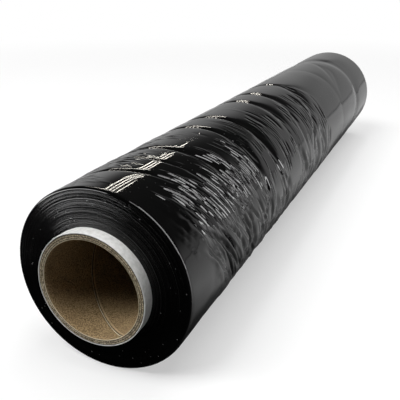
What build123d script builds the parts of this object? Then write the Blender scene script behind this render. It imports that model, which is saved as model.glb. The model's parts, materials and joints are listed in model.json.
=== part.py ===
"""A roll of stretch wrap: clingy plastic film wound on a spiral-wound paperboard core.

The roll lies on its side along Y, with the end that is looked at most facing -Y. The origin is on
the floor, under the middle of the roll, and +Z is up. All sizes are in millimetres.

Three pieces are made:
  core_board      the brown tube, wound from strips of board that are glued into one wall
  core_cover_ply  the white paper strip that is glued round the outside of that tube
  film_roll       the wound film, whose turns are one solid
"""

from build123d import *
import os
from math import sqrt

# The core
bore_diameter = 50.8  # fits a standard two inch spindle or hand holder
board_wall = 3.1
cover_ply_thickness = 0.5
core_overhang = 8.5  # how far each core end stands out past the film's outer turns

# The film
film_width = 500.0
film_diameter = 96.0  # over the crowns between the folds
edge_drop = 0.5  # the outer turns are drawn in this much at each end
edge_round = 0.8
end_cone = 2.0  # the turns at the core stand this far past the outer turns
fold_depth = 0.9
fold_shares = (0.048, 0.134, 0.228, 0.288, 0.396, 0.458, 0.544, 0.850)  # of the film's width
flat_spot_width = 14.0  # where the soft outer turns are pressed flat by the floor

same_place = 1e-6  # two lengths closer than this are the same

bore_radius = bore_diameter / 2
board_radius = bore_radius + board_wall
core_radius = board_radius + cover_ply_thickness
core_length = film_width + 2 * core_overhang
film_radius = film_diameter / 2
axis_height = sqrt(film_radius**2 - (flat_spot_width / 2) ** 2)


def tube(outer_radius, inner_radius, length):
    """A plain tube along Y, centred on the roll's axis."""
    rod = Cylinder(outer_radius, length) - Cylinder(inner_radius, length)
    return Pos(0, 0, axis_height) * Rot(90, 0, 0) * rod


def band(start, end):
    """The bulge of film between two folds: an arc from one (radius, y) point to the next."""
    crown = (film_radius, (start[1] + end[1]) / 2)
    return ThreePointArc(start, crown, end)


def film_section():
    """Half of the film's lengthwise section, with radius along X and the roll's axis along Y."""
    near, far = -film_width / 2, film_width / 2
    edge_radius = film_radius - edge_drop
    fold_radius = film_radius - fold_depth
    folds = [(fold_radius, near + share * film_width) for share in fold_shares]
    rim = [(edge_radius, near), *folds, (edge_radius, far)]
    near_core = (core_radius, near - end_cone)
    far_core = (core_radius, far + end_cone)
    outline = [band(start, end) for start, end in zip(rim, rim[1:])]
    outline += [
        Line(rim[-1], far_core),
        Line(far_core, near_core),
        Line(near_core, rim[0]),
    ]
    section = make_face(outline)
    corners = [v for v in section.vertices() if abs(v.X - edge_radius) < same_place]
    return fillet(corners, edge_round)


def film_roll():
    """The wound film: its section turned about the core, then pressed flat where it rests."""
    wound = Pos(0, 0, axis_height) * revolve(film_section(), Axis.Y)
    floor_block = Box(
        film_diameter,
        core_length,
        film_diameter,
        align=(Align.CENTER, Align.CENTER, Align.MAX),
    )
    return wound - floor_block


parts = {
    "core_board": tube(board_radius, bore_radius, core_length),
    "core_cover_ply": tube(core_radius, board_radius, core_length),
    "film_roll": film_roll(),
}

os.makedirs("parts", exist_ok=True)
for name, shape in parts.items():
    shape.label = name
    export_step(shape, f"parts/{name}.step")
    print(name, "volume", round(shape.volume), "mm3")
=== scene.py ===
# %% [markdown]
# # A roll of stretch wrap
#
# Stretch wrap is thin, clingy plastic film. A machine winds hundreds of turns of it, under tension, on a
# tube of spiral-wound board. This film is black and glossy, so nearly all that the eye gets from it is
# reflections, and the shape of each fold and wrinkle matters more than its colour.
#
# The measured model from the CAD step is loaded first. It says where everything is and how big it is, and
# each piece below is built to those sizes.

# %% Load the measured model
import json
from math import pi, radians

import bpy
import numpy as np
from mathutils import Matrix, Vector


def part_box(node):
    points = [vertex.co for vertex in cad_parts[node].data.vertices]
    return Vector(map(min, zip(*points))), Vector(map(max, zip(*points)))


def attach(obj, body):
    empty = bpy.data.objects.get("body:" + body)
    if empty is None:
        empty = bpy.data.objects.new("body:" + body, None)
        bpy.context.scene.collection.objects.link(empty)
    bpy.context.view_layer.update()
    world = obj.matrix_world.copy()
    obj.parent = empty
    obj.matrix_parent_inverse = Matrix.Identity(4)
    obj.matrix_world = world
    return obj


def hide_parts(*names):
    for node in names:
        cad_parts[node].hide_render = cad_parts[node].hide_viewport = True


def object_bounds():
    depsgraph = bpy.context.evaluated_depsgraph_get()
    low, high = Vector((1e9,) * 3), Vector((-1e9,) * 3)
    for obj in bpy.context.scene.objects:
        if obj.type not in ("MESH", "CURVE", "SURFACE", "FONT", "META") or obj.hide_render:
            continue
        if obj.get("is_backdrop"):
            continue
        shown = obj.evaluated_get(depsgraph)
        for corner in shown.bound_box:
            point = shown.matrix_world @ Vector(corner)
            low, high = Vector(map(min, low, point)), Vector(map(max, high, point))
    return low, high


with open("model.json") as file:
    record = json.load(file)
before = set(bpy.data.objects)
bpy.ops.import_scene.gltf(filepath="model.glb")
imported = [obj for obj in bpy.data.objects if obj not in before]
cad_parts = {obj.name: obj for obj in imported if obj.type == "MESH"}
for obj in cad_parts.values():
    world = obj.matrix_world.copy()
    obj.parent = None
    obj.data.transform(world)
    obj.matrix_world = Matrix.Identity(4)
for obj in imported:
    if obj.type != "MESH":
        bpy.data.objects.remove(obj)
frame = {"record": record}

cad_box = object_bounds()
mm = 0.001

bore_mount = next(mount for mount in frame["record"]["mounts"] if mount["name"] == "core_bore")
axis_height = bore_mount["pos_m"][2] / mm
bore_radius = bore_mount["dims"]["r_mm"]
film_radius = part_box("film_roll")[1].x / mm
film_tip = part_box("film_roll")[1].y / mm
board_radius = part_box("core_board")[1].x / mm
core_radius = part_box("core_cover_ply")[1].x / mm
core_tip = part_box("core_board")[1].y / mm
print("radii in mm: film", round(film_radius, 1), "core", round(core_radius, 1), "bore", bore_radius)

# %% [markdown]
# ## One kind of mesh for every round piece
#
# Film, board and paper are all turned about one axis, so one recipe serves them all. A piece is a grid of
# points whose rows go round the axis. The first row joins the last and the first column joins the last,
# like the skin of a ring doughnut, so the piece is a closed solid with no seam.
#
# A roll is easiest to describe unrolled. Places along it are in millimetres, and angles are in degrees from
# the top, growing towards +X, because that is how one would mark a real roll.

# %% A closed mesh of rings


def ring_mesh(name, radius, place, angle):
    """A smooth mesh from radii, places along the axis and angles. The arrays have one shape."""
    turn = np.radians(angle)
    points = np.stack([radius * np.sin(turn), place, axis_height + radius * np.cos(turn)], -1)
    points[..., 2] = np.maximum(points[..., 2], 0)
    rows, columns = radius.shape
    row, column = np.meshgrid(np.arange(rows), np.arange(columns), indexing="ij")
    below, beside = (row + 1) % rows, (column + 1) % columns
    corners = [(row, column), (row, beside), (below, beside), (below, column)]
    faces = np.stack([r * columns + c for r, c in corners], -1)
    mesh = bpy.data.meshes.new(name)
    mesh.from_pydata((points.reshape(-1, 3) * mm).tolist(), [], faces.reshape(-1, 4).tolist())
    mesh.polygons.foreach_set("use_smooth", np.ones(len(mesh.polygons), bool))
    mesh.update()
    print(name, "has", 2 * len(mesh.polygons), "triangles")
    return mesh


def add_piece(mesh, node, finish):
    """Puts a mesh in the scene in place of one CAD node, with the finish of one slot."""
    piece = bpy.data.objects.new(mesh.name, mesh)
    bpy.context.scene.collection.objects.link(piece)
    piece.data.materials.append(finish)
    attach(piece, "root")
    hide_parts(node)
    return piece


def ease(value, low, high):
    """0 below low, 1 above high, and a smooth rise between them."""
    share = np.clip((value - low) / (high - low), 0, 1)
    return share * share * (3 - 2 * share)


# %% [markdown]
# ## Shader maths in plain Python
#
# A finish is easier to read as a formula than as a page of wires. A `Wire` is one output of one node. Adding
# or multiplying wires puts down the Math node that does it, and `node` puts down any other kind.

# %% Sums on shader sockets


class Wire:
    """One output socket of a node, which can be used in sums."""

    def __init__(self, tree, socket):
        self.tree = tree
        self.socket = socket

    @staticmethod
    def node(tree, kind, settings=None, inputs=None, out=0):
        """Adds a node: its type, its settings, then a value or a Wire for each socket that is named."""
        made = tree.nodes.new(kind)
        for name, value in (settings or {}).items():
            setattr(made, name, value)
        for name, value in (inputs or {}).items():
            if isinstance(value, Wire):
                tree.links.new(value.socket, made.inputs[name])
            else:
                made.inputs[name].default_value = value
        return Wire(tree, made.outputs[out])

    def maths(self, operation, first, second=0.0, clamp=False):
        settings = {"operation": operation, "use_clamp": clamp}
        return Wire.node(self.tree, "ShaderNodeMath", settings, {0: first, 1: second})

    def __add__(self, other):
        return self.maths("ADD", self, other)

    def __sub__(self, other):
        return self.maths("SUBTRACT", self, other)

    def __rsub__(self, other):
        return self.maths("SUBTRACT", other, self)

    def __mul__(self, other):
        return self.maths("MULTIPLY", self, other)

    def __pow__(self, other):
        return self.maths("POWER", self, other)

    def __abs__(self):
        return self.maths("ABSOLUTE", self)

    def __round__(self):
        return self.maths("ROUND", self)

    def step(self, low, high, start=0.0, end=1.0):
        """A smooth change from start to end as this value goes from low to high."""
        ends = {"Value": self, "From Min": low, "From Max": high, "To Min": start, "To Max": end}
        return Wire.node(self.tree, "ShaderNodeMapRange", {"interpolation_type": "SMOOTHSTEP"}, ends)

    __radd__ = __add__
    __rmul__ = __mul__


def blend_colours(share, first, second):
    """The first colour where share is 0, and the second where it is 1."""
    colours = {0: share, 6: first, 7: second}
    return Wire.node(share.tree, "ShaderNodeMix", {"data_type": "RGBA"}, colours, out=2)


def blend_numbers(share, first, second):
    """The first number where share is 0, and the second where it is 1."""
    numbers = {0: share, 2: first, 3: second}
    return Wire.node(share.tree, "ShaderNodeMix", {"data_type": "FLOAT"}, numbers)


def larger(first, second):
    return first.maths("MAXIMUM", first, second)


def grey(level):
    return (level, level, level, 1.0)


# %% [markdown]
# Places on the object come in metres. The noise in a wound thing is drawn out the way it was wound, so most
# patterns here use a place that is stretched: squeezed along the axis, it gives marks that run round.

# %% Start a finish and read places on the piece


def new_finish(name, **constants):
    """A material whose shader has these constant values, and its node tree."""
    material = bpy.data.materials.new(name)
    material.use_nodes = True
    for socket, value in constants.items():
        material.node_tree.nodes["Principled BSDF"].inputs[socket.replace("_", " ")].default_value = value
    return material, material.node_tree


def feed(material, **wires):
    """Links wires to the shader's sockets."""
    shader = material.node_tree.nodes["Principled BSDF"]
    for socket, wire in wires.items():
        material.node_tree.links.new(wire.socket, shader.inputs[socket.replace("_", " ")])


def place_on(tree, scale=(1, 1, 1)):
    """The place of each point of the surface, with X, Y and Z multiplied by scale."""
    place = Wire.node(tree, "ShaderNodeTexCoord", out="Object")
    scaled = {0: place, 1: scale}
    return Wire.node(tree, "ShaderNodeVectorMath", {"operation": "MULTIPLY"}, scaled)


def split(tree, vector):
    """X, Y and Z of a vector, as three numbers."""
    return [Wire.node(tree, "ShaderNodeSeparateXYZ", None, {0: vector}, out=n) for n in range(3)]


def join(tree, x, y, z):
    """A vector from three numbers."""
    return Wire.node(tree, "ShaderNodeCombineXYZ", None, {0: x, 1: y, 2: z})


def length_of(tree, vector):
    """How long a vector is."""
    return Wire.node(tree, "ShaderNodeVectorMath", {"operation": "LENGTH"}, {0: vector}, out="Value")


def noise(tree, place, scale, detail=3.0, roughness=0.5):
    """Cloudy noise from 0 to 1, with about `scale` clouds in a metre of the given place."""
    inputs = {"Vector": place, "Scale": scale, "Detail": detail, "Roughness": roughness}
    return Wire.node(tree, "ShaderNodeTexNoise", None, inputs)


def radius_on(tree):
    """The distance of each point of the surface from the roll's axis, in millimetres."""
    middle = (0, 0, axis_height * mm)
    place = Wire.node(tree, "ShaderNodeTexCoord", out="Object")
    from_axis = Wire.node(tree, "ShaderNodeVectorMath", {"operation": "SUBTRACT"}, {0: place, 1: middle})
    across = Wire.node(tree, "ShaderNodeVectorMath", {"operation": "MULTIPLY"}, {0: from_axis, 1: (1, 0, 1)})
    return length_of(tree, across) * 1000.0


def raised(tree, height, distance):
    """A normal for a surface whose height goes from 0 to 1, which is `distance` metres."""
    return Wire.node(tree, "ShaderNodeBump", None, {"Height": height, "Distance": distance})


# %% [markdown]
# ## The film's surface
#
# The outer turns are a soft skin over a hard roll. Where the tension was uneven they have pulled into deep
# folds that run round the roll, and the film between two folds bulges a little. Fine wrinkles lie over that,
# mostly in bundles on the near half.
#
# A texture could fake all this, but the outline of the roll shows its folds too, so they are real shape: a
# map of heights over the unrolled film. Its grid is finer along the roll than round it, because nearly
# every mark runs round. On the near right the wrinkles lean, and a square grid would cut a thin leaning line
# into steps. So there the grid itself leans with them. Rows are close together where the wrinkles are fine,
# and far apart over the tight film beyond the middle.

# %% Lay out the grid
end_cone = 2.0  # how far the turns at the core stand out past the outer turns
film_length = 2 * (film_tip - end_cone)
edge_round = 1.3  # the radius of the rim's edge

columns = np.concatenate([np.arange(-72, 9, 2.5), np.arange(10, 112, 1.5), np.arange(112, 286, 5.1)])
edge_rows = edge_round * (1 - np.cos(np.radians([8, 30, 50, 70])))
rows = np.concatenate([
    edge_rows,
    np.arange(edge_round, 12, 0.8),
    np.arange(12, 110, 0.4),
    np.arange(110, 165, 0.55),
    np.arange(165, 292, 0.8),
    np.arange(292, film_length - edge_round, 2.2),
    film_length - edge_rows[::-1],
])
shift = np.interp(columns, [8, 72, 112, 230], [0, 20, 42, 0])
shift_share = np.interp(rows, [edge_round, 17, 60, 114, film_length - 20], [0, 1, 1, 0.1, 0])
along = rows[:, None] + shift_share[:, None] * shift
around_mm = film_radius * radians(1)  # the length of film in one degree
height = np.zeros(along.shape)
print("height map:", height.shape, "points, leaning by up to", shift.max(), "mm")

# %% [markdown]
# Two tools draw on the map. A *fold* follows a given route round the whole roll, and is stronger in some
# places than in others. A *crease* is one short stroke with a length, a lean and a bend, and it fades out at
# both ends. A crease that rises is a wrinkle of loose film, and one that sinks is a pinch.
#
# A fold is as steep on its far side as on its near side over the top of the roll. Down the right side the
# film beyond it slopes away gently, and that keeps a long lamp from drawing one bright line down the fold.

# %% The two tools


def round_route(angles, values):
    """A smooth closed curve through values at some angles, read at every column."""
    nearby = np.arange(-12, 13, 4)
    return np.mean([np.interp(columns + n, angles, values, period=360) for n in nearby], axis=0)


far_side = np.interp(columns, [10, 24, 50, 72], [1, 3.2, 3.2, 1])  # how many times as wide as the near side


def fold(route, depth, half_width, sharp=1.7):
    """A furrow along a route of (angle, place, strength) round the roll."""
    angles, places, strengths = np.array(route).T
    centre, strength = round_route(angles, places), round_route(angles, strengths)
    across = (along - centre) / half_width
    across = np.where(across > 0, across / far_side, -across)
    height[:] -= depth * strength * np.exp(-across**sharp)


def crease(place, angle, length, width, rise, lean=0.0, bend=0.0):
    """A stroke whose middle is at a place and angle.

    Its lean is in degrees. Bend times the square of the run is how far it strays from a straight line.
    """
    slope = np.tan(np.radians(lean))
    reach = (abs(slope) * length + 6 * width) / 2 + abs(bend) * length**2 / 4
    across_columns = (columns - angle + 180) % 360 - 180
    near = np.flatnonzero(np.abs(across_columns) * around_mm < length / 2)
    if not len(near):
        return
    first, last = np.searchsorted(rows, [place - reach - shift[near].max(), place + reach])
    run = across_columns[None, near] * around_mm
    across = (along[first:last, near] - place - run * slope - bend * run**2) * np.cos(np.radians(lean))
    fade = 1 - (2 * run / length) ** 4
    height[first:last, near] += rise * fade * np.exp(-((across / width) ** 2))


# %% [markdown]
# Big shapes first. Between two folds the film is a low crown that drops only close to each fold. The last
# fold, near the far end, is wide and soft: the roll narrows there like a waist.

# %% Crowns between the folds
fold_places = [27, 68, 114.5, 143, 197, 224, 266]
crown_drop = 0.22
stops = [-16.0, *fold_places, 352.0, 430.0, film_length + 16.0]
for start, end in zip(stops, stops[1:]):
    inside = (along >= start) & (along < end)
    from_middle = np.abs(2 * (along[inside] - start) / (end - start) - 1)
    height[inside] -= crown_drop * from_middle**6

# %% [markdown]
# The folds are pinched hard over the top left of the roll. They open out into looser creases down the right
# side, and come together again underneath.

# %% Folds
# Each stop on a route is (angle, place, strength). After the route come the depth and the half width.
fold([(-160, 26, 0.6), (-60, 23, 1.0), (-30, 23.5, 1.0), (0, 27, 1.0), (14, 30.5, 0.9), (35, 37, 0.4),
      (70, 44, 0.15), (120, 38, 0.3)], 1.0, 1.2)
fold([(-160, 47, 0.0), (-25, 46, 0.1), (0, 47.5, 0.7), (14, 48, 0.8), (30, 52, 0.3), (60, 60, 0.0)], 0.7, 0.8)
fold([(-160, 68, 0.7), (-60, 65, 1.0), (-30, 65.5, 1.0), (0, 67.5, 1.0), (28, 71.5, 0.9), (52, 75, 0.5),
      (80, 80, 0.2), (130, 74, 0.4)], 1.2, 1.6)
fold([(-160, 116, 0.7), (-60, 116.5, 1.0), (-28, 115.5, 1.0), (0, 114.5, 1.0), (28, 115, 0.9), (50, 113, 0.4),
      (72, 118, 0.8), (100, 122, 0.8), (140, 119, 0.5)], 1.15, 1.6)
fold([(-160, 146, 0.7), (-60, 148, 1.0), (-26, 145.5, 1.0), (0, 143, 1.1), (28, 143, 1.1), (52, 142, 0.8),
      (80, 152, 0.3), (130, 150, 0.5)], 1.25, 1.8)
fold([(-160, 198, 0.6), (-60, 202, 0.9), (-24, 200, 1.0), (0, 196, 1.0), (25, 192, 0.9), (50, 190, 0.3),
      (90, 196, 0.3)], 1.0, 2.2)
fold([(-160, 228, 0.6), (-60, 234, 0.9), (-24, 231, 1.0), (0, 226, 1.0), (28, 221, 1.0), (42, 216, 0.9),
      (60, 212, 0.3), (100, 220, 0.3)], 1.0, 2.4)
fold([(-160, 268, 0.6), (-60, 272, 0.9), (-22, 271, 0.9), (5, 269, 0.9), (30, 261, 1.0), (48, 257, 1.0),
      (60, 249, 1.3), (68, 238, 1.0), (80, 226, 0.3), (130, 250, 0.3)], 0.75, 2.8)
fold([(-160, 292, 0.0), (0, 268, 0.2), (14, 275, 0.7), (28, 283, 0.3), (50, 292, 0.0)], 0.5, 2.6)
fold([(-160, 430, 0.7), (-60, 424, 0.8), (-15, 420, 0.8), (10, 426, 1.0), (45, 433, 0.8), (65, 431, 1.0),
      (90, 428, 0.8)], 1.0, 9.0, 1.8)
fold([(-160, 420, 0.0), (-12, 411, 0.0), (0, 404, 0.7), (20, 387, 1.0), (34, 374, 0.6), (50, 362, 0.0)],
     0.45, 3.6, 1.8)
fold([(-160, 405, 0.0), (22, 398, 0.0), (34, 390, 0.9), (46, 372, 0.8), (56, 358, 0.0)], 0.35, 3.0, 1.8)
print("deepest fold:", round(-height.min(), 2), "mm")

# %% [markdown]
# Now the wrinkles. They come in bundles: a few strokes side by side, of much the same length and lean. Each
# region of the roll has its own habit, so each is one line below. The seed is fixed, so the roll comes out
# the same every time.
#
# How steep a wrinkle is decides where it glints. A flank of some twenty degrees mirrors the lamps and shows
# as a bright line, and a flatter one stays black. So the fine wrinkles are about as high as they are wide.

# %% Bundles of wrinkles
dice = np.random.default_rng(7)


def bundles(count, places, angles, strokes, length, width, rise, lean, spacing):
    """Scatters bundles of creases. Each pair of numbers is the least and the most of its kind."""
    for _ in range(count):
        place, angle = dice.uniform(*places), dice.uniform(*angles)
        bundle_lean, many = dice.uniform(*lean), dice.integers(*strokes)
        for stroke in range(many):
            crease(
                place + (stroke - many / 2) * spacing * dice.uniform(0.8, 1.2),
                angle + dice.normal(0, 3.5),
                dice.uniform(*length),
                dice.uniform(*width),
                dice.uniform(*rise),
                bundle_lean + dice.normal(0, 2.5),
                dice.normal(0, 0.0025),
            )


fine = {"width": (0.36, 0.5)}
soft = {"width": (0.8, 1.4)}

# The near right, where the skin has slid: thin leaning ridges, close together
bundles(7, (15, 25), (32, 56), (2, 5), (14, 28), rise=(0.2, 0.4), lean=(18, 28), spacing=2.3, **fine)
bundles(26, (26, 72), (34, 78), (3, 7), (12, 28), rise=(0.28, 0.52), lean=(16, 28), spacing=1.9, **fine)
bundles(10, (24, 105), (20, 30), (2, 5), (5, 10), rise=(0.12, 0.26), lean=(10, 24), spacing=2.0, **fine)
bundles(12, (72, 108), (32, 72), (2, 6), (8, 20), rise=(0.25, 0.48), lean=(6, 22), spacing=2.2, **fine)

# The middle of the right side: short dull marks and shallow troughs
bundles(40, (108, 290), (18, 76), (2, 5), (7, 18), rise=(0.06, 0.2), lean=(-6, 10), spacing=2.8, **fine)
bundles(60, (108, 285), (18, 72), (1, 3), (8, 18), rise=(-0.42, -0.16), lean=(-6, 8), spacing=3.5, **soft)

# The top left: faint wisps
bundles(48, (5, 100), (-38, -5), (3, 7), (4, 11), rise=(0.1, 0.28), lean=(-8, 12), spacing=1.9, **fine)
bundles(22, (95, 290), (-34, 8), (1, 4), (8, 22), (0.8, 2.0), (-0.06, 0.06), (-8, 10), 5.0)

# Low on the right: slanting ridges, with deep pinches between them
bundles(11, (34, 80), (84, 108), (2, 4), (26, 46), (0.6, 0.9), (0.4, 0.8), (32, 42), 2.6)
bundles(14, (34, 90), (80, 108), (1, 3), (26, 46), (0.7, 1.1), (-1.7, -1.0), (32, 42), 4.0)
bundles(14, (80, 170), (80, 112), (2, 4), (18, 36), (0.7, 1.1), (0.35, 0.7), (10, 38), 2.8)
bundles(30, (80, 300), (84, 116), (1, 3), (16, 34), (1.6, 3.0), (-1.4, -0.7), (-10, 40), 6.0)

# Underneath, up the left side, and the tight far half
bundles(70, (14, 290), (118, 245), (2, 6), (10, 30), rise=(-0.3, 0.3), lean=(-20, 20), spacing=3.0, **soft)
bundles(40, (20, 290), (250, 320), (2, 5), (10, 26), (0.6, 0.9), (0.03, 0.12), (-12, 12), 3.0)
bundles(20, (290, 490), (-180, 180), (1, 4), (10, 34), (2.4, 5.0), (-0.05, 0.05), (-14, 14), 6.0)
print("height of the film runs from", round(height.min(), 2), "to", round(height.max(), 2), "mm")

# %% [markdown]
# Where the skin has slid, it also pinches and ridges in long slanting lines. They are what one notices first
# and what makes this roll itself, so these few are set one by one. A minus rise is a pinch.

# %% Long lines
long_lines = [
    # place, angle, length, width, rise, lean, bend
    (94, 65, 48, 1.2, -1.2, 24, 0.003),
    (46, 94, 42, 1.0, -1.0, 37, 0.0),
    (57, 92, 44, 1.0, -1.1, 38, 0.002),
    (62, 94, 46, 0.9, -1.0, 41, -0.002),
    (69, 92, 44, 1.2, -1.2, 43, -0.002),
    (74, 60, 26, 0.9, -0.9, -12, 0.0),
    (31, 66, 20, 0.8, -0.6, 20, -0.02),
    (118, 84, 36, 1.4, -1.2, 8, 0.006),
    (84, 98, 16, 2.4, -1.3, 24, 0.0),
    (106, 88, 30, 1.6, -0.7, -38, 0.004),
    (142, 62, 18, 1.4, -1.0, 14, 0.0),
    (58, 92, 40, 0.7, -1.6, 38, 0.0),
    (51, 96, 40, 0.7, -1.6, 36, 0.0),
    (22, 60, 27, 0.42, 0.45, 29, 0.0),
    (27, 63, 26, 0.42, 0.45, 31, 0.0),
    (36, 56, 38, 0.45, 0.48, 30, 0.0),
    (50, 44, 26, 0.45, 0.45, 27, 0.0),
]
for line in long_lines:
    crease(*line)
print("long lines:", len(long_lines))

# %% [markdown]
# Under all of it the surface is never quite true. A few long slow waves, some round and some along, keep the
# reflections from running ruler straight.
#
# Two last limits: the film is calm close to its rims, where the turns are held edge to edge, and no pit may
# go deeper than the loose skin is thick. The whole map is then sunk, so its highest ridges just reach the
# roll's full radius and stay inside the measured box.

# %% Slow waves and limits
wave_height = 0.02
for _ in range(14):
    waves_round, wave_length = dice.integers(1, 7), dice.uniform(45, 220)
    phase = dice.uniform(0, 2 * pi)
    height += wave_height * np.sin(np.radians(columns) * waves_round + 2 * pi * along / wave_length + phase)

calm = ease(along, 1.0, 13.0) * ease(film_length - along, 1.0, 20.0)
sunk = 0.35
deepest = 3.4  # no pit gets this deep
depth_below_crown = np.maximum(sunk - height * (0.1 + 0.9 * calm), 0)
height = -deepest * np.tanh(depth_below_crown / deepest)
print("height of the film runs from", round(height.min(), 2), "to", round(height.max(), 2), "mm")

# %% [markdown]
# ## The wound ends
#
# Each turn's edge shows at the end as a hair-thin ring. No two turns lie quite level, so the end is a stack
# of fine ridges that catches light in a wedge, as a vinyl record does. It cones out a little toward the core.
# A real roll has hundreds of turns, but a few dozen rings of uneven height already give the same wedge.

# %% Fine rings on an end
near_turns = 56
far_turns = 24
turn_rise = 0.045  # how far a turn stands out past its neighbours
turn_waver = 0.008  # how much that changes on the way round
rim_inset = 0.5 + edge_round  # from the crown of the film in to the first ring


def end_surface(count, seed, near):
    """The radius and place arrays of one end, from the rim in to the core."""
    radii = np.linspace(film_radius - rim_inset, core_radius, count)
    rise = turn_rise * np.random.default_rng(seed).normal(0, 1.0, count)
    rise[0] = rise[-1] = 0
    cone_share = (radii[0] - radii) / (radii[0] - radii[-1])
    lift = (end_cone * cone_share + rise)[:, None] + 0 * columns
    round_end = 1 + 0.25 * np.sin(np.radians(columns) * 3 + seed)
    lift[1:-1] += turn_waver * round_end * np.random.default_rng(seed).normal(0, 1, (count - 2, 1))
    place = film_length / 2 + lift
    return np.repeat(radii[:, None], len(columns), 1), -place if near else place


# %% Build the film
rim_drop = np.minimum(along, film_length - along)
rim_round = edge_round - np.sqrt(np.clip(edge_round**2 - (edge_round - rim_drop) ** 2, 0, None))
skin_radius = film_radius + height - np.where(rim_drop < edge_round, rim_round, 0)
far_radius, far_place = end_surface(far_turns, 3, near=False)
near_radius, near_place = end_surface(near_turns, 5, near=True)
film_r = np.concatenate([skin_radius, far_radius, near_radius[::-1]])
film_y = np.concatenate([along - film_length / 2, far_place, near_place[::-1]])
film_mesh = ring_mesh("wound_film", film_r, film_y, np.broadcast_to(columns, film_r.shape))

# %% [markdown]
# ## The film's finish
#
# Black polyethylene hides what is under it, so its own colour is almost nothing. All the work is in the
# roughness: tight film is close to a mirror, and film that has been handled is a little hazy. Dust clings to
# it as pale dull specks. The bump is only microns deep, because the real marks are in the mesh already, and a
# stronger one would blur every reflection.

# %% Black film
film_finish, tree = new_finish("black film", IOR=1.5)
x, y, z = split(tree, place_on(tree))
handled = y.step(0.02, 0.06, 1.0, 0.0)
leaning = join(tree, x, (y + z * 0.33) * 22.0, z)
lines = noise(tree, leaning, 42.0, detail=2.0)
sharp_lines = 1.0 - abs(lines - 0.5) * 2.0
loose = noise(tree, place_on(tree), 26.0, detail=2.0).step(0.42, 0.6) * handled
haze = noise(tree, place_on(tree, (1, 2.5, 1)), 24.0, detail=3.0)
dust = noise(tree, place_on(tree), 900.0, detail=1.0).step(0.74, 0.8)
feed(
    film_finish,
    Base_Color=blend_colours(dust * 0.5, grey(0.0018), grey(0.05)),
    Roughness=haze.step(0.35, 0.7, 0.035, 0.085) + dust * 0.3,
    Normal=raised(tree, (sharp_lines**4.0) * loose, 0.000002),
)
film = add_piece(film_mesh, "film_roll", film_finish)
print("black film:", len(tree.nodes), "nodes")

# %% [markdown]
# The cut ends are the same plastic, but hundreds of sharp edges scatter the light a little, so they are
# rougher and mirror less. Specks of dust and paper sit on them. A Voronoi pattern gives each cell a round
# speck at its middle and a random colour, and that colour picks which cells have one.
#
# Both finishes are on one mesh, because it is one piece. The faces after the skin's are those of the ends.

# %% The cut edges of the turns
edge_finish, tree = new_finish("film edges", IOR=1.5, Specular_IOR_Level=0.4)
speck_place = {"Vector": place_on(tree), "Scale": 420.0}
from_middle = Wire.node(tree, "ShaderNodeTexVoronoi", None, speck_place)
cell_colour = Wire(tree, from_middle.socket.node.outputs["Color"])
picked = split(tree, cell_colour)[0].step(0.62, 0.64)
specks = from_middle.step(0.06, 0.15, 1.0, 0.0) * picked
turns = noise(tree, join(tree, radius_on(tree), 0.0, 0.0), 2.2, detail=3.0, roughness=0.7)
feed(
    edge_finish,
    Base_Color=blend_colours(specks, grey(0.0006), grey(0.2)),
    Roughness=turns.step(0.3, 0.7, 0.14, 0.22),
    Normal=raised(tree, turns, 0.0002),
)
film.data.materials.append(edge_finish)
skin_faces = (len(rows) - 1) * len(columns)
finish_number = np.zeros(len(film.data.polygons), np.int32)
finish_number[skin_faces:] = 1
film.data.polygons.foreach_set("material_index", finish_number)
print("faces with the cut-edge finish:", int(finish_number.sum()))

# %% [markdown]
# ## The core
#
# The tube is made from strips of board wound as a spiral, each layer glued over the one before. On the inside
# the edges of the innermost strip meet in a seam that climbs through the bore. The grid of this mesh is
# twisted to climb with it, so that a few narrow columns of faces are the seam, and need no extra rows.

# %% The twist of the winding
seam_climb = 121.0  # how far the spiral climbs along the core in one turn
seam_start = 141.6  # where the inside seam meets the near end, in degrees from the top
twist_step = 2.4

seam_columns = np.array([-5.0, -3.0, -2.0, -1.3, -0.6, 0.0, 0.6, 1.3, 2.0, 3.0, 5.0])
core_columns = np.concatenate([seam_columns, np.arange(9.5, 352.0, 4.5)])
core_rows = np.concatenate([np.arange(-core_tip + 0.3, core_tip - 0.3, twist_step), [core_tip - 0.3]])


def across_all(values):
    """One value for each row, the same in all columns."""
    return np.repeat(np.asarray(values, float)[:, None], len(core_columns), 1)


print("core grid:", len(core_rows), "rows,", len(core_columns), "columns")

# %% [markdown]
# The tube was sawn off after winding, and the saw tears board. At the cut the glue between two plies sinks
# and the fibres between stand up, each by its own small amount.

# %% The cut ends
plies = 7
steps_in_ply = 4
fray = np.random.default_rng(11)
end_radii = np.linspace(bore_radius + 0.35, board_radius - 0.05, plies * steps_in_ply + 1)
glue_line = np.arange(len(end_radii)) % steps_in_ply == 0


def board_end(outward):
    """Radius and place of each ring across the cut end. Glue lines sink and fibres stand up."""
    fibre = fray.normal(0.03, 0.03, (len(end_radii), len(core_columns)))
    sunk = np.where(glue_line, 0.16, 0.0)[:, None] + fibre
    soft_edge = fray.normal(0, 0.05, (1, len(core_columns)))
    out_of_round = fray.normal(0, 0.02, (1, len(core_columns)))
    return across_all(end_radii) + out_of_round, outward * (core_tip - np.abs(sunk + soft_edge))


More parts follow.
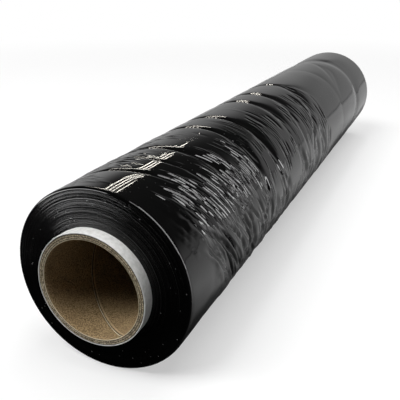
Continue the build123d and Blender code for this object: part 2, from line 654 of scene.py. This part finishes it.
# %% The board tube
seam_groove = 0.6 * np.exp(-((core_columns / 1.0) ** 2))
seam_lip = 0.25 * np.exp(-(((core_columns + 4.0) / 2.0) ** 2))
bore_grain = fray.normal(0, 0.012, (len(core_rows), len(core_columns)))
bore_wall = bore_radius + (seam_groove - seam_lip)[None, :] + bore_grain
bore_wall[[0, -1]] += 0.1  # the rim of the bore is a little worn
near_r, near_y = board_end(-1)
far_r, far_y = board_end(1)
outer_r = across_all(np.full(len(core_rows), board_radius))
board_r = np.concatenate([bore_wall, far_r, outer_r, near_r[::-1]])
board_y = np.concatenate([across_all(core_rows), far_y, across_all(core_rows[::-1]), near_y[::-1]])

cut_band = np.abs(board_y) > core_tip - 0.31
twist_y = np.where(cut_band, np.sign(board_y) * core_tip, board_y)  # one angle across a whole cut end
board_angle = seam_start + core_columns + 360 * (twist_y + core_tip) / seam_climb
board_mesh = ring_mesh("spiral_board_tube", board_r, board_y, board_angle)

# %% [markdown]
# ## Kraft board
#
# Kraft is unbleached pulp: brown, quite without shine, and speckled with darker fibres. In the bore one sees
# the face of the board, and at the end its cut plies, which are paler. The two share the fibres.
#
# Along the seam the colour is near black over its groove, a painted shade, and pale over the raised lip
# beside it, a painted highlight. To find the seam, the shader works out the same spiral as the mesh: its
# angle, less what the spiral has climbed to there.

# %% The face of the board
board_finish, tree = new_finish("kraft board", Roughness=0.92, Specular_IOR_Level=0.25)
fibres = noise(tree, place_on(tree), 1500.0, detail=3.0, roughness=0.7)
mottle = noise(tree, place_on(tree), 160.0, detail=4.0)
x, y, z = split(tree, place_on(tree))
turn = x.maths("ARCTAN2", x, z - axis_height * mm) * (1 / (2 * pi))
from_seam = turn - seam_start / 360 - (y + core_tip * mm) * (1 / (seam_climb * mm))
from_seam = from_seam - round(from_seam)
# Near black over the seam's groove: painted shade.
painted_seam_shade = abs(from_seam).step(0.0025, 0.0065, 1.0, 0.0)
# Pale over the strip's raised lip beside the seam: a painted highlight.
painted_lip_highlight = from_seam.step(-0.017, -0.012) * from_seam.step(-0.010, -0.007, 1.0, 0.0)
brown = blend_colours(fibres.step(0.32, 0.68), (0.115, 0.075, 0.034, 1), (0.53, 0.38, 0.205, 1))
brown = blend_colours(mottle.step(0.3, 0.75) * 0.35, brown, (0.22, 0.15, 0.08, 1))
# The painted highlight on the lip and the painted shade in the seam's groove go on last.
brown = blend_colours(painted_lip_highlight * 0.6, brown, (0.66, 0.50, 0.30, 1))
brown = blend_colours(painted_seam_shade * 0.95, brown, (0.012, 0.008, 0.005, 1))
print("seam climbs", seam_climb, "mm in a turn")

# %% The cut plies
wall = board_radius - bore_radius
dark_glue = (0.05, 0.036, 0.02, 1)
from_bore = radius_on(tree) - bore_radius
wander = from_bore + (fibres - 0.5) * 0.14
half_ply = {0: wander + 0.25, 1: 0.52}
glue = Wire.node(tree, "ShaderNodeMath", {"operation": "PINGPONG"}, half_ply).step(0.22, 0.1)
cut = blend_colours(fibres.step(0.36, 0.66), (0.15, 0.115, 0.07, 1), (0.80, 0.69, 0.49, 1))
cut = blend_colours(glue * 0.9, cut, dark_glue)
cut = blend_colours(from_bore.step(0.45, 0.65), (0.78, 0.68, 0.50, 1), cut)  # the pale innermost ply
cut = blend_colours(from_bore.step(wall - 0.4, wall - 0.15), cut, dark_glue)
feed(
    board_finish,
    Base_Color=blend_colours(from_bore.step(0.2, 0.4), brown, cut),
    Normal=raised(tree, fibres, 0.0003),
)
board = add_piece(board_mesh, "core_board", board_finish)
print("kraft board:", len(tree.nodes), "nodes")

# %% [markdown]
# ## The white paper
#
# A strip of white paper is glued round the outside. Its edges overlap in a spiral too. Where that spiral runs
# out at the end of the core, the paper stands off a little. It is a thin shell with an outer and an inner
# side, so its edge shows as a light line round the board.

# %% The paper's shape
paper_seam = -38.0
end_steps = np.array([0.05, 0.5, 1.2, 2.0, 3.0, 4.0, 5.0, 6.0, 7.2, 8.4])
middle_rows = np.arange(-core_tip + 9.6, core_tip - 9.6, twist_step)
paper_rows = np.concatenate([end_steps - core_tip, middle_rows, core_tip - end_steps[::-1]])
past_seam = core_columns % 360
overlap = np.where(past_seam > 300, 0.0, 0.15 * np.exp(-past_seam / 16.0))
near_tip = np.exp(-(core_tip - np.abs(paper_rows)[:, None]) / 2.0)
standing_off = 0.16 * np.exp(-past_seam / 9.0) * near_tip
outer_paper = core_radius + overlap + standing_off
inner_paper = board_radius + 0.01 + 0.8 * standing_off
paper_r = np.concatenate([outer_paper, inner_paper[::-1]])
paper_y = across_all(np.concatenate([paper_rows, paper_rows[::-1]]))
paper_angle = paper_seam + core_columns + 360 * (paper_y + core_tip) / seam_climb
paper_mesh = ring_mesh("white_cover_paper", paper_r[::-1], paper_y[::-1], paper_angle[::-1])

# %% White paper
paper_finish, tree = new_finish("white paper", Roughness=0.5)
tooth = noise(tree, place_on(tree), 500.0, detail=4.0)
feed(
    paper_finish,
    Base_Color=blend_colours(tooth.step(0.3, 0.7), (0.70, 0.70, 0.675, 1), (0.85, 0.85, 0.83, 1)),
    Normal=raised(tree, tooth, 0.00008),
)
paper = add_piece(paper_mesh, "core_cover_ply", paper_finish)
print("white paper:", len(tree.nodes), "nodes")

# %% [markdown]
# ## The stage
#
# A black mirror shows whatever stands round it, so the stage is half of this film's look. A shader on the
# floor or in the world can ask what kind of ray is looking. That lets the camera see plain white paper, while
# the film mirrors a floor and a room that are light in some places and dark in others.

# %% Ask what kind of ray is looking


def ray_is(tree, kind):
    """1 for rays of one kind, such as "Is Camera Ray", and 0 for all others."""
    return Wire.node(tree, "ShaderNodeLightPath", out=kind)


def as_grey(level):
    """A grey from one number."""
    return join(level.tree, level, level, level)


scene = bpy.context.scene
scene.view_settings.view_transform = "Standard"
print("view transform:", scene.view_settings.view_transform)

# %% [markdown]
# To the camera the floor is paper near the roll, where it can take a shadow, and it fades into pure white
# farther out. In the film it is light beside the roll, so the flank is grey, but close along the roll's right
# side its colour is darker: a painted contact shadow, which only the film mirrors. It is dark in front of the
# roll, so the near end stays black. One slanting strip glows: only the steep flanks of ridges low on the
# right mirror it, and it picks them out.

# %% What the film mirrors in the floor
bpy.ops.mesh.primitive_plane_add(size=14)
floor = bpy.context.object
floor.name = "floor"
floor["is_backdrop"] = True
floor_finish, tree = new_finish("floor", Roughness=0.9, Specular_IOR_Level=0.0, Emission_Strength=1.0)
floor.data.materials.append(floor_finish)

across, front, _ = split(tree, place_on(tree))
fade = length_of(tree, place_on(tree)).step(0.5, 1.4)
# On the right the mirrored floor is light, and close along the roll it drops to 0.4: a painted contact
# shadow.
right_side_and_painted_shadow = front.step(-0.25, -0.13, 0.02, 0.58) * across.step(0.045, 0.062, 0.4, 1.0)
left_side = front.step(-0.30, -0.18, 0.02, 0.44) * across.step(-0.2, -0.1, 1.0, 0.0)
mirrored_paper = larger(right_side_and_painted_shadow, left_side) * fade.step(0.0, 1.0, 1.0, 0.9)
strip = (front - across).step(-0.36, -0.28, 1.0, 0.0) * front.step(-0.28, -0.18)
mirrored_glow = strip * 1.5 + fade * front.step(-0.30, -0.18) * 0.22

# %% Finish the floor
seen = ray_is(tree, "Is Camera Ray")
mirrored = ray_is(tree, "Is Glossy Ray")
unseen_paper = blend_colours(mirrored, grey(0.16), as_grey(mirrored_paper))
unseen_glow = blend_colours(mirrored, grey(0.0), as_grey(mirrored_glow))
feed(
    floor_finish,
    Base_Color=blend_colours(seen, unseen_paper, blend_colours(fade, grey(0.5), grey(0.0))),
    Emission_Color=blend_colours(seen, unseen_glow, blend_colours(fade, grey(0.5), grey(1.0))),
)
print("floor:", len(tree.nodes), "nodes")

# %% [markdown]
# The room is white to the camera. The film mirrors two soft walls that are lightest near the floor, one
# behind and one on the left, and darkness everywhere else. That darkness is what makes the film look black.

# %% The room
world = bpy.data.worlds.new("studio")
scene.world = world
world.use_nodes = True
tree = world.node_tree
side, ahead, up = split(tree, Wire.node(tree, "ShaderNodeTexCoord", out="Generated"))
not_in_front = ahead.step(-0.35, 0.15, 0.04, 1.0)
back_wall = (up + side.step(0.35, 0.6, 0.0, 0.2)).step(0.22, 0.48, 0.42, 0.04) * not_in_front
left_wall = side.step(-0.25, -0.6, 0.0, 0.6) * up.step(0.2, 0.5, 1.0, 0.08) * not_in_front
room = larger(back_wall, left_wall)
unseen = blend_numbers(ray_is(tree, "Is Glossy Ray"), 0.05, room)
glow = blend_numbers(ray_is(tree, "Is Camera Ray"), unseen, 1.0)
background = tree.nodes["Background"]
background.inputs["Color"].default_value = grey(1)
tree.links.new(glow.socket, background.inputs["Strength"])
print("room:", len(tree.nodes), "nodes")

# %% [markdown]
# ## The lamps
#
# Every lamp here is a long flat one. Some are there only to be mirrored and light nothing else, and two are
# there only to light the board and the floor, and aren't mirrored.
#
# Four warm strip lamps, high on the left like the tubes of a warehouse, draw the four thin lines along the
# upper left of the film. They start well beyond the near end, because what the film mirrors there lies far
# ahead.

# %% Strip lamps


def long_lamp(name, start, end, width, brightness, colour=(1, 1, 1)):
    """A flat lamp from start to end that faces the roll, `brightness` times as bright as white paper."""
    start, end = Vector(start), Vector(end)
    run = (end - start).normalized()
    lamp = bpy.data.lights.new(name, "AREA")
    lamp.shape = "RECTANGLE"
    lamp.size, lamp.size_y = width, (end - start).length
    lamp.energy = brightness * width * lamp.size_y * pi
    lamp.color = colour
    holder = bpy.data.objects.new(name, lamp)
    scene.collection.objects.link(holder)
    holder.location = (start + end) / 2
    away = holder.location - Vector((0, 0, axis_height * mm))
    away = (away - away.dot(run) * run).normalized()
    holder.rotation_euler = Matrix((run.cross(away), run, away)).transposed().to_euler()
    print(name, "is", round(lamp.size_y, 2), "m long")
    return holder


lamp_distance = 1.56


def around_roll(tilt, place):
    """A point at a tilt from straight up over the roll's axis, in degrees, and a place along it."""
    height_up = axis_height * mm + lamp_distance * np.cos(radians(tilt))
    return lamp_distance * np.sin(radians(tilt)), place, height_up


warm = (1.0, 0.95, 0.86)
strip_lamps = [(-41.6, 2.28), (-36.8, 2.48), (-32.6, 2.34), (-27.4, 1.88)]  # tilt, far end
for number, (tilt, far_end) in enumerate(strip_lamps):
    ends = around_roll(tilt, 0.3), around_roll(tilt, far_end)
    long_lamp(f"tube_{number}", *ends, 0.015, 26, warm).visible_diffuse = False

# %% [markdown]
# The wrinkles on the right are lit by lamps that arch over the roll. Film that lies true mirrors what is far
# behind the roll, where it is dark. Only a flank that leans some twenty degrees towards the camera mirrors
# the arch, so each wrinkle shows as one thin bright line. A second, nearer arch does the same for steeper
# flanks, and a low window on the left lights a wedge of the near end.

# %% Lamps that are only mirrored
for number, (start, end) in enumerate([(12, 36), (36, 62), (62, 90)]):
    ends = around_roll(start, 0.5), around_roll(end, 0.5)
    long_lamp(f"cross_{number}", *ends, 0.42, 7.5).visible_diffuse = False
high_ends = around_roll(5, -0.15), around_roll(72, -0.15)
long_lamp("high_band", *high_ends, 0.5, 5).visible_diffuse = False
long_lamp("left_window", (-1.9, -0.9, 0.2), (-0.85, -1.9, 0.2), 0.3, 11).visible_diffuse = False

# %% Lamps that only light the board and the floor
long_lamp("key", (-1.5, -1.0, 2.0), (-0.1, -1.5, 2.0), 0.9, 10.5).visible_glossy = False
long_lamp("soft_top", (0.3, -0.8, 2.2), (0.3, 1.4, 2.2), 1.6, 3.0).visible_glossy = False

# %% [markdown]
# ## The camera
#
# It stands close to the near end, a little to its right, and looks down along the roll. So near, the roll
# tapers strongly, and the end with its open bore fills the lower left.

# %% The camera
lens = bpy.data.cameras.new("camera")
lens.sensor_width = 36
lens.lens = 50.24
camera = bpy.data.objects.new("camera", lens)
scene.collection.objects.link(camera)
camera.location = (0.1360, -0.4397, 0.1820)
camera.rotation_euler = (radians(90 - 22.05), 0, radians(24.0))
scene.camera = camera
print("camera stands", round(-camera.location.y - film_tip * mm, 3), "m in front of the near end")

# %% Print the measured box and the shown box
shown_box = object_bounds()
boxes = {"cad": [list(corner) for corner in cad_box], "shown": [list(corner) for corner in shown_box]}
for name, (low, high) in boxes.items():
    print(name, "box:", [round(v, 4) for v in low], [round(v, 4) for v in high])
